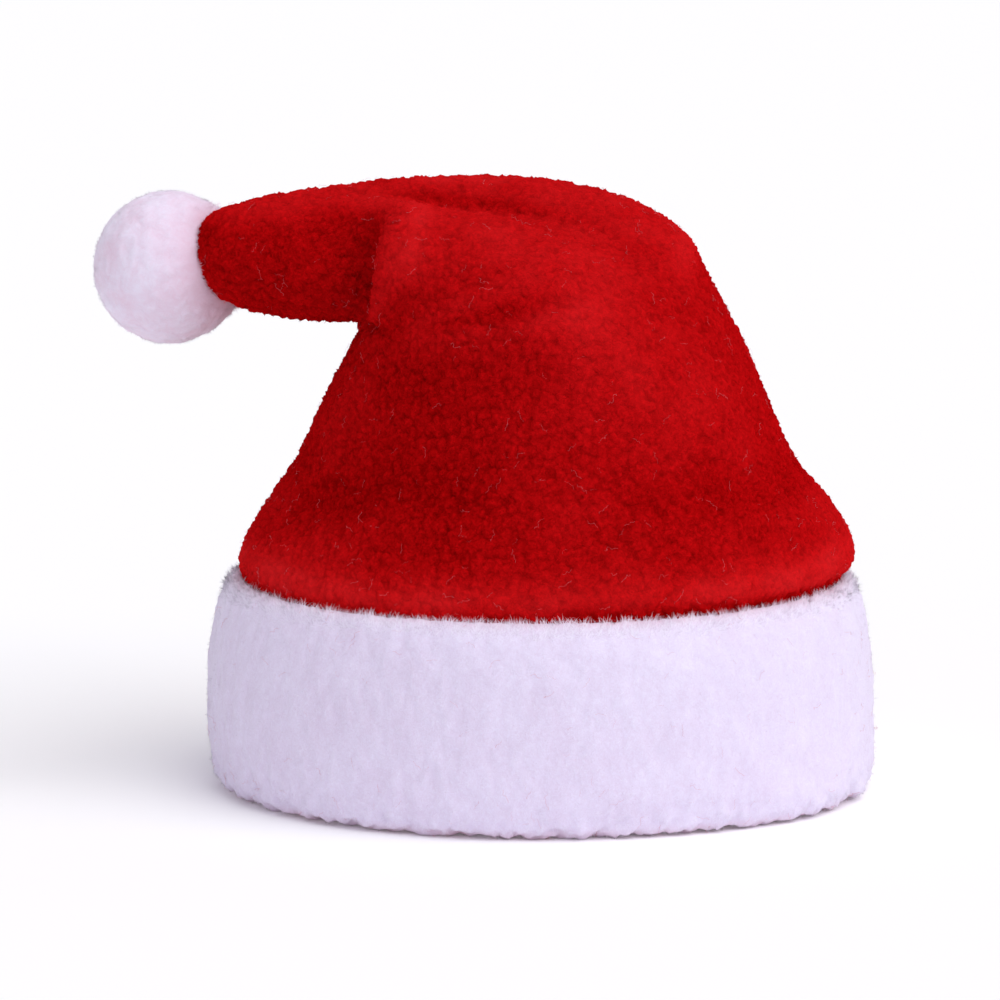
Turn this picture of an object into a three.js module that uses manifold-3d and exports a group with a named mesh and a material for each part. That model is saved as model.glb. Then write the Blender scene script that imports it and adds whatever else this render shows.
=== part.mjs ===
// Santa hat for a small pet: a fleece cone whose tip flops over to the left, a plush cuff round
// its mouth and a plush ball sewn to the tip. Millimetres, +Z up, the front faces -Y.
// The origin is the middle of the mouth, on the surface that the cuff stands on.

import * as THREE from "three";
import { mergeVertices } from "three/addons/utils/BufferGeometryUtils.js";
import Module from "manifold-3d";

const wasm = await Module();
wasm.setup();

// Driving dimensions
const MOUTH_HALF_WIDTH = 49; // the cone's lower edge, from its middle to the left or right
const MOUTH_HALF_DEPTH = 44.5; // the same edge, to the front or back
const FLEECE_WALL = 2.2;
const SEWN_GAP = 0.3; // left between pieces that are sewn to each other
const CUFF_HEIGHT = 35.2;
const HEM_HEIGHT = 27.5; // the cone's raw edge, tucked into the cuff
const SEAM_HEIGHT = CUFF_HEIGHT - 1; // where the cone comes out of the cuff
const BALL_RADIUS = 12.9;

// How finely the soft forms are divided
const ROUND_STEPS = 42; // round the cone and the cuff
const RINGS_PER_ROW = 4; // along the cone, between two rows of its table
const INNER_RING_STEP = 2; // the inside of the cone takes every second ring
const BALL_DETAIL = 7;
const MERGE_WITHIN = 1e-4; // corners nearer than this are one

// Cross-sections of the cone from its hem to its tip. x, y and z are the middle, and lean is how far
// the section's plane has turned over to the left, in degrees. side is its half-size towards the right,
// which becomes the top as it turns over, and front and back are its half-sizes in depth. A blunt of 1
// is an oval, and the smaller it is, the squarer are the corners of the inner side of the turn.
const MOUTH = { side: MOUTH_HALF_WIDTH, front: MOUTH_HALF_DEPTH, back: MOUTH_HALF_DEPTH };
const SECTIONS = [
  { at: "hem", x: 0, y: 0, z: HEM_HEIGHT, lean: 0, ...MOUTH, blunt: 1 },
  { at: "seam", x: 0, y: 0, z: SEAM_HEIGHT, lean: 0, ...MOUTH, blunt: 1 },
  { at: "roll", x: 0.8, y: 0, z: 38.6, lean: 0, side: 50.6, front: 45.4, back: 45.6, blunt: 1 },
  { at: "flare", x: 0.6, y: 0, z: 46.5, lean: 0, side: 46.2, front: 44.8, back: 42, blunt: 1 },
  { at: "waist", x: 0, y: 0, z: 53.5, lean: 0, side: 41, front: 43.6, back: 38.5, blunt: 1 },
  { at: "middle", x: 0.2, y: 0, z: 62, lean: 0, side: 37.2, front: 41.4, back: 35, blunt: 0.9 },
  { at: "chest", x: 0.9, y: 0, z: 72, lean: 0, side: 32.9, front: 37.8, back: 31.5, blunt: 0.75 },
  { at: "shoulder", x: -1.2, y: 0.5, z: 80, lean: 8, side: 29, front: 34, back: 27.5, blunt: 0.62 },
  { at: "turn_low", x: -2.4, y: 1, z: 83.4, lean: 15, side: 27.6, front: 31.5, back: 25, blunt: 0.52 },
  { at: "turn_mid", x: -6.2, y: 1.5, z: 86.2, lean: 23, side: 24.6, front: 30, back: 22.5, blunt: 0.5 },
  { at: "turn_high", x: -12.6, y: 2, z: 88, lean: 35, side: 19.8, front: 27, back: 20, blunt: 0.5 },
  { at: "crest", x: -20.2, y: 2, z: 88.6, lean: 52, side: 15, front: 21.5, back: 17, blunt: 0.6 },
  { at: "tail_root", x: -25.2, y: 2, z: 88.5, lean: 66, side: 13, front: 17, back: 15.5, blunt: 0.8 },
  { at: "tail", x: -30.4, y: 2, z: 88.1, lean: 78, side: 11.8, front: 14, back: 14.5, blunt: 1 },
  { at: "tail_mid", x: -40, y: 2, z: 87.6, lean: 88, side: 10.6, front: 11.5, back: 12, blunt: 1 },
  { at: "tail_low", x: -48.4, y: 2, z: 87.4, lean: 90, side: 8.9, front: 9, back: 9.5, blunt: 1 },
  { at: "tip", x: -53.8, y: 2, z: 87.8, lean: 90, side: 6.6, front: 6.6, back: 6.8, blunt: 1 },
  { at: "tip_end", x: -56, y: 2, z: 88.2, lean: 90, side: 3.6, front: 3.6, back: 3.8, blunt: 1 },
];
const LAST_ROW = SECTIONS.length - 1;
const INNER_LAST_ROW = 15; // the hollow's last section
const SEWN_ROW = 1; // up to this section the cloth is sewn flat in the cuff
const FREE_ROW = 3; // from this one on it folds freely
const TIP_END = new THREE.Vector3(-56.8, 2, 88.4);
const INNER_TIP_END = new THREE.Vector3(-51.5, 2, 87.6);

// Folds and dents of the cone, each fading out from its middle. row is its place in SECTIONS and
// reach how many rows it fades over. angle goes round the section from the right by the back, in
// degrees, width is what it fades over, and slant moves it round for each row. sink is its depth
// inwards and pull how far the cloth is drawn towards the tip, in millimetres. inside is the share
// of it that the inner face follows, and back how far that face alone is drawn away from the tip:
// they keep the wall thick where the cloth lies double or turns sharply.
const PLAIN = { slant: 0, pull: 0, inside: 1, back: 0 };
const LOBE = { ...PLAIN, pull: 5.2, inside: 0 };
const TUCK = { ...PLAIN, pull: -2, inside: 1.9 };
const FOLDS = [
  { ...PLAIN, fold: "top_groove", row: 10, reach: 2.6, angle: 330, width: 18, slant: 5, sink: 8, inside: 1.1 },
  { ...PLAIN, fold: "inner_crease", row: 9.4, reach: 1.8, angle: 174, width: 24, sink: 6, inside: 1.3 },
  { ...PLAIN, fold: "crease_wall", row: 8, reach: 1.6, angle: 180, width: 40, sink: 0, back: 2.2 },
  { ...LOBE, fold: "front_lobe", row: 11.2, reach: 1, angle: 272, width: 36, slant: 28, sink: -1.8 },
  { ...TUCK, fold: "front_tuck", row: 12.7, reach: 0.9, angle: 262, width: 34, slant: 34, sink: 4.5 },
  { ...PLAIN, fold: "front_hollow", row: 4.6, reach: 2.4, angle: 236, width: 38, sink: 6 },
  { ...PLAIN, fold: "front_ridge", row: 5.4, reach: 3, angle: 316, width: 30, slant: -11, sink: -3.6 },
  { ...PLAIN, fold: "left_dimple", row: 3.3, reach: 0.6, angle: 208, width: 10, sink: 2.8 },
  { ...PLAIN, fold: "back_hollow", row: 5.4, reach: 1.6, angle: 100, width: 30, slant: 8, sink: 1.8 },
];

// The cuff is a plush strip folded at its lower edge, with the cone's hem between its two layers.
// out is measured from the hem's outer face and up from the surface that the cuff stands on.
const SLOT_OUT = SEWN_GAP;
const SLOT_IN = -(FLEECE_WALL + SEWN_GAP);
const SLOT_FLOOR = HEM_HEIGHT - SEWN_GAP;
const CUFF_PROFILE = [
  { at: "foot_inner", out: -2.6, up: 0 },
  { at: "foot_outer", out: 3.2, up: 0 },
  { at: "lower_roll", out: 5, up: 2 },
  { at: "lower_belly", out: 5.8, up: 7 },
  { at: "belly", out: 6, up: 15 },
  { at: "upper_belly", out: 5.7, up: 22.5 },
  { at: "upper_roll", out: 4.9, up: 28.5 },
  { at: "brow", out: 3.6, up: 32.6 },
  { at: "top", out: 1.4, up: CUFF_HEIGHT },
  { at: "lip", out: 0.5, up: 34.6 },
  { at: "slot_mouth", out: SLOT_OUT, up: 32.8 },
  { at: "slot_floor_outer", out: SLOT_OUT, up: SLOT_FLOOR },
  { at: "slot_floor_inner", out: SLOT_IN, up: SLOT_FLOOR },
  { at: "inner_lip", out: SLOT_IN, up: 32.2 },
  { at: "inner_top", out: -3.3, up: 33.2 },
  { at: "inner_brow", out: -4.5, up: 32 },
  { at: "inner_upper", out: -5, up: 26 },
  { at: "inner_belly", out: -5.2, up: 14 },
  { at: "inner_roll", out: -4.6, up: 4 },
];

// Where the cuff is fuller than its profile. angle and width are as in FOLDS, up and height are the
// middle and the fade of the swelling above the surface, and out is how far it swells.
const CUFF_SWELLS = [
  { swell: "right_foot", angle: 328, width: 26, up: 1, height: 9, out: 2.6 },
  { swell: "left_belly", angle: 200, width: 30, up: 18, height: 12, out: 0.5 },
];

// The ball is a core covered in short locks of pile, and its near side is hollowed by the tip.
const BALL_MIDDLE = new THREE.Vector3(-61.2, 9.5, 84.4);
const BALL_FIRST_ROW = LAST_ROW - 2; // the ball covers the cone from here on
const LOCK_COUNT = 90;
const LOCK_HEIGHT = 0.6;
const LOCK_SPREAD = 2 / Math.sqrt(LOCK_COUNT); // half a lock's width as an angle, when they share the ball
const GOLDEN_ANGLE = Math.PI * (3 - Math.sqrt(5));

const radians = THREE.MathUtils.degToRad;

// A column's value part of the way between its rows, on a smooth curve through them.
function between(rows, column, place) {
  const last = rows.length - 1;
  const row = Math.min(Math.floor(place), last - 1);
  const value = (k) => rows[THREE.MathUtils.clamp(k, 0, last)][column];
  const [a, b, c, d] = [value(row - 1), value(row), value(row + 1), value(row + 2)];
  const f = place - row;
  return b + 0.5 * f * (c - a + f * (2 * a - 5 * b + 4 * c - d + f * (3 * (b - c) + d - a)));
}

// The way round from one angle to another, in degrees, the shorter way.
function turnFrom(middle, degrees) {
  return THREE.MathUtils.euclideanModulo(degrees - middle + 180, 360) - 180;
}

// What all the folds together do at one place: how deep they sink and how far they pull.
function foldsAt(place, degrees, onInside) {
  let sink = 0;
  let pull = 0;
  const free = THREE.MathUtils.smoothstep(place, SEWN_ROW, FREE_ROW);
  for (const fold of FOLDS) {
    const along = place - fold.row;
    const round = turnFrom(fold.angle + fold.slant * along, degrees);
    const strength = free * Math.exp(-((along / fold.reach) ** 2) - (round / fold.width) ** 2);
    const share = onInside ? fold.inside : 1;
    const back = onInside ? fold.back : 0;
    sink += strength * share * fold.sink;
    pull += strength * (share * fold.pull - back);
  }
  return { sink, pull };
}

// A point of the cone's cloth, inset from its outer face.
function conePoint(place, degrees, inset) {
  const size = (column) => between(SECTIONS, column, place);
  const lean = radians(size("lean"));
  const angle = radians(degrees);
  const depth = Math.sin(angle) > 0 ? size("back") : size("front");
  const across = Math.cos(angle) * (size("side") - inset);
  const squareness = across < 0 ? size("blunt") : 1;
  const deep = Math.sign(Math.sin(angle)) * Math.abs(Math.sin(angle)) ** squareness * (depth - inset);
  const { sink, pull } = foldsAt(place, degrees, inset > 0);
  const keep = 1 - sink / Math.hypot(across, deep);
  const sideways = across * keep;
  return new THREE.Vector3(
    size("x") + sideways * Math.cos(lean) - pull * Math.sin(lean),
    size("y") + deep * keep,
    size("z") + sideways * Math.sin(lean) + pull * Math.cos(lean),
  );
}

function coneRing(place, inset) {
  return Array.from({ length: ROUND_STEPS }, (_, k) => conePoint(place, (360 * k) / ROUND_STEPS, inset));
}

// A closed skin over rings of equally many points: round and round where they form a loop, or from
// one end point to another.
function skin(rings, ends) {
  const steps = rings[0].length;
  const points = rings.flat();
  const triangles = [];
  const corner = (ring, step) => (ring % rings.length) * steps + (step % steps);
  const bands = ends ? rings.length - 1 : rings.length;
  for (let ring = 0; ring < bands; ring++) {
    for (let step = 0; step < steps; step++) {
      const [a, b] = [corner(ring, step), corner(ring, step + 1)];
      const [c, d] = [corner(ring + 1, step), corner(ring + 1, step + 1)];
      triangles.push(a, c, b, b, c, d);
    }
  }
  if (ends) {
    const first = points.push(ends[0]) - 1;
    const last = points.push(ends[1]) - 1;
    for (let step = 0; step < steps; step++) {
      triangles.push(first, corner(0, step), corner(0, step + 1));
      triangles.push(last, corner(rings.length - 1, step + 1), corner(rings.length - 1, step));
    }
  }
  const geometry = new THREE.BufferGeometry().setFromPoints(points);
  geometry.setIndex(triangles);
  return geometry;
}

// The cone: down its outer face from the tip to the hem, and up its inner face.
function coneGeometry() {
  const rings = [];
  for (let k = LAST_ROW * RINGS_PER_ROW; k >= 0; k--) {
    rings.push(coneRing(k / RINGS_PER_ROW, 0));
  }
  for (let k = 0; k <= INNER_LAST_ROW * RINGS_PER_ROW; k += INNER_RING_STEP) {
    rings.push(coneRing(k / RINGS_PER_ROW, FLEECE_WALL));
  }
  return skin(rings, [TIP_END, INNER_TIP_END]);
}

// How far the cuff's outer face swells at one place.
function swellAt(degrees, up) {
  let out = 0;
  for (const swell of CUFF_SWELLS) {
    const round = turnFrom(swell.angle, degrees) / swell.width;
    const above = (up - swell.up) / swell.height;
    out += swell.out * Math.exp(-(round ** 2) - above ** 2);
  }
  return out;
}

// The cuff: its profile carried round the oval of the hem, square to it.
function cuffGeometry() {
  const rings = [];
  for (let k = 0; k < ROUND_STEPS; k++) {
    const degrees = (360 * k) / ROUND_STEPS;
    const angle = radians(degrees);
    const [right, back] = [Math.cos(angle), Math.sin(angle)];
    const edge = new THREE.Vector3(MOUTH_HALF_WIDTH * right, MOUTH_HALF_DEPTH * back, 0);
    const outward = new THREE.Vector3(MOUTH_HALF_DEPTH * right, MOUTH_HALF_WIDTH * back, 0).normalize();
    const section = CUFF_PROFILE.map(({ out, up }) => {
      const swollen = out > SLOT_OUT ? out + swellAt(degrees, up) : out;
      return edge.clone().addScaledVector(outward, swollen).setZ(up);
    });
    rings.push(section);
  }
  return skin(rings);
}

function solidOf(geometry) {
  const bare = geometry.clone();
  bare.deleteAttribute("normal");
  bare.deleteAttribute("uv");
  const merged = mergeVertices(bare, MERGE_WITHIN);
  return new wasm.Manifold(
    new wasm.Mesh({
      numProp: 3,
      vertProperties: merged.attributes.position.array,
      triVerts: new Uint32Array(merged.index.array),
    }),
  );
}

function geometryOf(solid) {
  const { vertProperties, triVerts } = solid.getMesh();
  const geometry = new THREE.BufferGeometry();
  geometry.setAttribute("position", new THREE.BufferAttribute(vertProperties, 3));
  geometry.setIndex(new THREE.BufferAttribute(triVerts, 1));
  return geometry;
}

// How far a lock of pile stands out in a direction: each lock is a low dome round its own middle.
function lockHeight(direction) {
  let nearest = -1;
  for (let k = 0; k < LOCK_COUNT; k++) {
    const z = 1 - (2 * k + 1) / LOCK_COUNT;
    const ring = Math.sqrt(1 - z * z);
    const turn = k * GOLDEN_ANGLE;
    const middle = new THREE.Vector3(ring * Math.cos(turn), ring * Math.sin(turn), z);
    nearest = Math.max(nearest, middle.dot(direction));
  }
  const off = Math.min(Math.acos(Math.min(nearest, 1)) / LOCK_SPREAD, 1);
  return LOCK_HEIGHT * Math.sqrt(1 - off * off);
}

// The cone's last rows with the sewing gap all round, closed at both ends.
function tipRoom() {
  const rings = [];
  for (let k = LAST_ROW * RINGS_PER_ROW; k >= BALL_FIRST_ROW * RINGS_PER_ROW; k--) {
    rings.push(coneRing(k / RINGS_PER_ROW, -SEWN_GAP));
  }
  const { x, y, z } = SECTIONS[BALL_FIRST_ROW];
  const end = TIP_END.clone().setX(TIP_END.x - SEWN_GAP);
  return skin(rings, [end, new THREE.Vector3(x, y, z)]);
}

// The ball: a core with its locks, less the room that the cone's tip takes.
function ballGeometry() {
  const ball = new THREE.IcosahedronGeometry(1, BALL_DETAIL);
  const places = ball.getAttribute("position");
  const point = new THREE.Vector3();
  for (let k = 0; k < places.count; k++) {
    point.fromBufferAttribute(places, k).normalize();
    const radius = BALL_RADIUS - LOCK_HEIGHT + lockHeight(point);
    point.multiplyScalar(radius).add(BALL_MIDDLE);
    places.setXYZ(k, point.x, point.y, point.z);
  }
  return geometryOf(solidOf(ball).subtract(solidOf(tipRoom())));
}

function piece(name, geometry, material) {
  const mesh = new THREE.Mesh(geometry, material);
  mesh.name = name;
  return mesh;
}

const redFleece = new THREE.MeshStandardMaterial({ color: 0xae0a12, roughness: 0.95, metalness: 0 });
const whitePlush = new THREE.MeshStandardMaterial({ color: 0xe9e2f2, roughness: 1, metalness: 0 });
const whiteBall = new THREE.MeshStandardMaterial({ color: 0xe6dcec, roughness: 1, metalness: 0 });

const hat = new THREE.Group();
hat.add(piece("crown", coneGeometry(), redFleece));
hat.add(piece("cuff", cuffGeometry(), whitePlush));
hat.add(piece("pompom", ballGeometry(), whiteBall));

export default hat;
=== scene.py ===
"""A santa hat for a small pet: a red fleece cone that flops over, with a white plush cuff and ball."""
import math

import bmesh
import bpy
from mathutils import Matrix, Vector
from mathutils.bvhtree import BVHTree


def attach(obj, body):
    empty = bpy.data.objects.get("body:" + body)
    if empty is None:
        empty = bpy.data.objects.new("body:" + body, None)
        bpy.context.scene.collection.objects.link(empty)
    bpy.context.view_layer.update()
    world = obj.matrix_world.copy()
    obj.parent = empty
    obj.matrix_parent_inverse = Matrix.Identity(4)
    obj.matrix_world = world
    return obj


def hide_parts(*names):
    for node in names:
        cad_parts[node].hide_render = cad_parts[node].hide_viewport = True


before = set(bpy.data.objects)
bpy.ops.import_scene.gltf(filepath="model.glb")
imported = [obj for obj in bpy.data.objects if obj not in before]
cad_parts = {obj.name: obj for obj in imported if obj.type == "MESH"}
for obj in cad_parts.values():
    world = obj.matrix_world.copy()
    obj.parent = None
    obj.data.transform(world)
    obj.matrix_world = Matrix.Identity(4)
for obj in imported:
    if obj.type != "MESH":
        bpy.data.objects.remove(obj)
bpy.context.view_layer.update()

MM = 0.001
PER_MM2 = 1e6

# The camera stands at the photo's angle, and the picture is VIEW_WIDTH wide at the target.
CAMERA_TARGET = Vector((-6.7, 0, 47)) * MM
CAMERA_DISTANCE = 1200 * MM
CAMERA_AZIMUTH = 0.0
CAMERA_ELEVATION = math.radians(9.5)
VIEW_WIDTH = 164.5 * MM
SENSOR_WIDTH = 36

# Soft studio light: a pale sky all round, and a wide key from the right.
KEY_AZIMUTH = math.radians(50)
KEY_ELEVATION = math.radians(56)
KEY_WIDTH = math.radians(60)
KEY_STRENGTH = 1.86
SKY_COLOUR = "#F8F6FF"
SKY_STRENGTH = 0.52

# The floor glows a little, so that it looks as white as the photo's ground.
FLOOR_COLOUR = "#FCFCFC"
FLOOR_ROUGHNESS = 0.9
FLOOR_SPECULAR = 0.1
FLOOR_GLOW = 0.06
FLOOR_HALF_WIDTH = 6000 * MM

# Values that the cloth carries at its vertices, and that a fibre takes over from the cloth at its root.
PILE = "pile"  # how much pile shows: 0 where it is covered, 1 on plain cloth, more where it is shaggy
RIM = "rim"  # 1 along the edges where the white plush feathers out over the fleece
COMB = "comb"  # which way the pile is combed
PAINTED_LIGHT_TINT = "painted_light_tint"  # painted pink reflection of the red on the plush near the fleece, painted shade along the cuff's foot, and a pale painted highlight on the fleece's ridges
PAINTED_SHADE_AND_HIGHLIGHT = "painted_shade_and_highlight"  # painted shade and highlight: 0 in the cone's hollows, painted darker, and 1 on its ridges, painted lighter

# Values of the fibres alone.
TONE = "fibre_tone"  # each fibre's own tone, from -1 to 1
ROOT_NORMAL = "root_normal"  # the cloth's normal at the root
BLADE_PLACE = "blade_place"  # a point's place on the blade before it is planted
CELL = "cell"  # the fibre's number, which gives it a square of the texture map
HAIR_RADIUS = "hair_radius"
TEXTURE_MAP = "OFBake"

# Some sockets of a node share a name, so they go by number: those of Mix and of Random Value.
COLOUR_A, COLOUR_B, COLOUR_OUT = 6, 7, 2
VECTOR_A, VECTOR_B, VECTOR_OUT = 4, 5, 1
VECTOR_LOW, VECTOR_HIGH = 0, 1
FLOAT_LOW, FLOAT_HIGH, FLOAT_OUT = 2, 3, 1

# Noise lies about its middle, and the more detail it has, the finer it is broken up.
MIDDLE = 0.5
CENTRE = (MIDDLE, MIDDLE, MIDDLE)
SMOOTH_NOISE = 1.0
LUMPY_NOISE = 2.0
FINE_NOISE = 3.0
EVEN = (1, 1, 1)

# The nap's clumps: how far they stray from an even spread, in clumps, and how they slope to the pits.
CLUMP_WANDER = 2.0
CLUMP_SOFTNESS = 0.3
CLUMP_SLOPE = -1.25
CLUMP_TOP = 1.1

# A fibre is a tapering blade. The real one, about 0.02 mm thick, is too fine to show, so a blade is drawn
# 0.07 to 0.1 mm wide. Fibres and loose hairs differ from the sizes that are given by these shares.
BLADE_COLUMNS = 2
BLADE_ROWS = 3
TIP_MERGE = 0.001
FIBRE_LENGTHS = (0.6, 1.25)
HAIR_LENGTHS = (0.4, 1.3)
HAIR_WIDTHS = (0.3, 1.0)
HAIR_POINTS = 14
HAIR_SIDES = 3
CELL_EDGE = 0.1

# How a solid's triangles become an even, rounded cloth.
MERGE_WITHIN = 0.02 * MM
FLAT_PAIR = math.radians(60)
ROUNDING_LEVEL = 2
FACE_SIZES = {"crown": 0.6 * MM, "cuff": 0.8 * MM, "pompom": 0.6 * MM}
EASING = {"crown": 3, "cuff": 2, "pompom": 12}
EASING_STEP = 0.5

# The cone's inner wall has larger faces and a thinner nap.
HEM_EDGE = 0.3 * MM
INSIDE_FACES = 0.08
INSIDE_SHARE = 0.3
INSIDE_GROUP = "inside"

# Where one piece is sewn to the next, its edge is drawn in, and it hides the cloth under it.
SEAM_REACH = 2.4 * MM
SEAM_GAP = 0.06 * MM
HIDDEN_WITHIN = 1.2 * MM

# The sides of the cone's narrow folds lie against each other.
FOLD_REACH = 3.0 * MM
FOLD_EASING = 8

# Painted shade and highlight on the fleece: darker in the hollows, lighter on the ridges. Ridges stand out
# this far from a much smoother cone, and hollows lie this far in.
# From TAIL_FROM to TAIL_BY it fades to the tone of the tail, what faces up is painted lighter, and a pale
# colour is painted onto the lightest ridges as a highlight.
RIDGE_SMOOTHING = 300
HOLLOW = -0.1 * MM
RIDGE = 0.6 * MM
TAIL_FROM = -20 * MM
TAIL_BY = -32 * MM
TAIL_HEIGHT = 70 * MM
TAIL_PAINTED_TONE = 0.2
TOP_FROM = 0.5
TOP_PAINTED_HIGHLIGHT = 0.7
PAINTED_HIGHLIGHT_PALE = 0.4
CROWN_COMB = Vector((0, 0, -0.3))

# Along the cuff's top edge the plush is brushed up, and along its foot it is shaggy. A side of the cuff
# counts as outer or inner by how far its normal points away from the hat's middle.
CUFF_BRUSHED_UP_FROM = 29.5 * MM
CUFF_BRUSHED_UP_BY = 34.0 * MM
CUFF_BRUSHED_DOWN = 0.25
CUFF_BRUSHED_IN = 0.1
CUFF_RIM_FROM = 32.4 * MM
CUFF_OUTER = 0.15
CUFF_INNER = -0.4
CUFF_FOOT = 7.0 * MM
FOOT_SHAG = 2.0
# How far the painted pink reflection of the red reaches from the fleece, and the painted shade up from the
# floor.
CUFF_REFLECTION_REACH = 3.5 * MM
FOOT_SHADE_REACH = 2.5 * MM

# Near the fleece the ball has painted pinkish shade and reflection of the red, and its pile is combed towards
# the tip of the cone.
POMPOM_TIP_REACH = 9.0 * MM
POMPOM_RIM_REACH = 2.4 * MM
TIP_WAY = Vector((1, 0, 0.1))


def linear(colour):
    """A colour given as sRGB hex, as the linear red, green, blue and alpha that a shader takes."""
    channels = [int(colour[i:i + 2], 16) / 255 for i in (1, 3, 5)]
    return tuple(c / 12.92 if c <= 0.04045 else ((c + 0.055) / 1.055) ** 2.4 for c in channels) + (1.0,)


def add(tree, kind, inputs=None, **settings):
    """Adds a node, sets its properties, and links or sets its inputs, which are named or numbered."""
    node = tree.nodes.new(kind)
    for name, value in settings.items():
        setattr(node, name, value)
    for key, value in (inputs or {}).items():
        source = value.outputs[0] if isinstance(value, bpy.types.Node) else value
        if isinstance(source, bpy.types.NodeSocket):
            tree.links.new(source, node.inputs[key])
        else:
            node.inputs[key].default_value = source
    return node


def clumps(tree, place, scale, size):
    """The nap's pattern, on a surface or in a material: 1 in the middle of a clump, 0 in the pits."""
    wander = add(tree, "ShaderNodeTexNoise", {"Vector": place, "Scale": scale, "Detail": SMOOTH_NOISE})
    shift = add(tree, "ShaderNodeVectorMath", {0: wander.outputs["Color"], 1: CENTRE}, operation="SUBTRACT")
    reach = add(tree, "ShaderNodeMath", {0: size, 1: CLUMP_WANDER}, operation="MULTIPLY")
    shift = add(tree, "ShaderNodeVectorMath", {0: shift, "Scale": reach}, operation="SCALE")
    wandered = add(tree, "ShaderNodeVectorMath", {0: place, 1: shift}, operation="ADD")
    clump = add(tree, "ShaderNodeTexVoronoi", {
        "Vector": wandered, "Scale": scale, "Smoothness": CLUMP_SOFTNESS}, feature="SMOOTH_F1")
    return add(tree, "ShaderNodeMath", {0: clump.outputs["Distance"], 1: CLUMP_SLOPE, 2: CLUMP_TOP},
               operation="MULTIPLY_ADD", use_clamp=True)


# Materials

def pile_cloth(name, look):
    """A napped cloth: two tones mixed by its clumps and pits, by broad patches, by each fibre's own tone and
    by painted shade and highlight, and a third colour painted over it in patches for painted reflection,
    shade and highlight.

    A fibre is lit on its back as on its front, because light goes round it.
    """
    material = bpy.data.materials.new(name)
    material.use_nodes = True
    tree = material.node_tree
    tree.nodes.clear()
    place = add(tree, "ShaderNodeTexCoord").outputs["Object"]
    shaped = add(tree, "ShaderNodeMapping", {"Vector": place, "Scale": look["stretch"]})
    patch = add(tree, "ShaderNodeTexNoise", {
        "Vector": shaped, "Scale": 1 / look["patch"], "Detail": LUMPY_NOISE})
    grain = add(tree, "ShaderNodeTexNoise", {
        "Vector": shaped, "Scale": 1 / look["grain"], "Detail": FINE_NOISE, "Distortion": look["wisps"]})
    nap = clumps(tree, shaped, 1 / look["clump"], look["clump"])
    # Painted shade and highlight: a darker tone in the cloth's hollows, a lighter one on its ridges and what
    # faces up.
    painted_shade_and_highlight = add(tree, "ShaderNodeAttribute", attribute_name=PAINTED_SHADE_AND_HIGHLIGHT).outputs["Fac"]
    fibre = add(tree, "ShaderNodeAttribute", attribute_name=TONE).outputs["Fac"]
    painted_light_tint = add(tree, "ShaderNodeAttribute", attribute_name=PAINTED_LIGHT_TINT).outputs["Fac"]

    patterns = {"nap_contrast": nap, "patch_contrast": patch, "grain_contrast": grain, "painted_shade_and_highlight_contrast": painted_shade_and_highlight}
    tone = MIDDLE - sum(look[contrast] for contrast in patterns) * MIDDLE
    patterns["fibre_contrast"] = fibre
    for contrast, value in patterns.items():
        tone = add(tree, "ShaderNodeMath", {0: value, 1: look[contrast], 2: tone}, operation="MULTIPLY_ADD")
    colour = add(tree, "ShaderNodeMix", {
        "Factor": tone, COLOUR_A: linear(look["deep"]), COLOUR_B: linear(look["light"])}, data_type="RGBA")
    # The third colour is painted in by patches: painted reflection of the red, painted shade and a pale
    # painted highlight.
    painted_tint_share = add(tree, "ShaderNodeMath", {0: painted_light_tint, 1: patch}, operation="MULTIPLY")
    colour = add(tree, "ShaderNodeMix", {
        "Factor": painted_tint_share, COLOUR_A: colour.outputs[COLOUR_OUT], COLOUR_B: linear(look["painted_light_tint"])},
        data_type="RGBA")
    relief = add(tree, "ShaderNodeMath", {0: grain, 1: look["grain_relief"], 2: nap},
                 operation="MULTIPLY_ADD")
    bump = add(tree, "ShaderNodeBump", {
        "Height": relief, "Strength": look["bump"], "Distance": look["bump_depth"]})
    behind = add(tree, "ShaderNodeNewGeometry").outputs["Backfacing"]
    turned = add(tree, "ShaderNodeMath", {0: behind, 1: -2.0, 2: 1.0}, operation="MULTIPLY_ADD")
    outwards = add(tree, "ShaderNodeVectorMath", {0: bump, "Scale": turned}, operation="SCALE")
    shader = add(tree, "ShaderNodeBsdfPrincipled", {
        "Base Color": colour.outputs[COLOUR_OUT],
        "Normal": outwards,
        "Roughness": look["roughness"],
        "Specular IOR Level": look["specular"],
        "Sheen Weight": look["sheen"],
        "Sheen Roughness": look["sheen_roughness"],
        "Sheen Tint": linear(look["sheen_colour"]),
        "Subsurface Weight": look["subsurface"],
        "Subsurface Radius": EVEN,
        "Subsurface Scale": look["subsurface_depth"],
    })
    add(tree, "ShaderNodeOutputMaterial", {"Surface": shader})
    return material


# Brushed polyester fleece: matt and deep red, its short nap lying in clumps about a millimetre across. Its
# hollows are painted darker, its ridges and tops lighter, and its third colour is a pale painted highlight.
RED_FLEECE = {
    "deep": "#7C0102", "light": "#D00A0F", "painted_light_tint": "#DC3539", "stretch": EVEN,
    "patch": 8 * MM, "patch_contrast": 0.3, "grain": 0.4 * MM, "grain_contrast": 1.0, "wisps": 1.0,
    "clump": 1.2 * MM, "nap_contrast": 0.5, "fibre_contrast": 0.6, "painted_shade_and_highlight_contrast": 0.6,
    "bump": 0.5, "bump_depth": 0.3 * MM, "grain_relief": 0.6,
    "roughness": 0.95, "specular": 0.0, "sheen": 0.15, "sheen_roughness": 0.7, "sheen_colour": "#FF0C10",
    "subsurface": 0.0, "subsurface_depth": 0.5 * MM,
}
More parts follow.
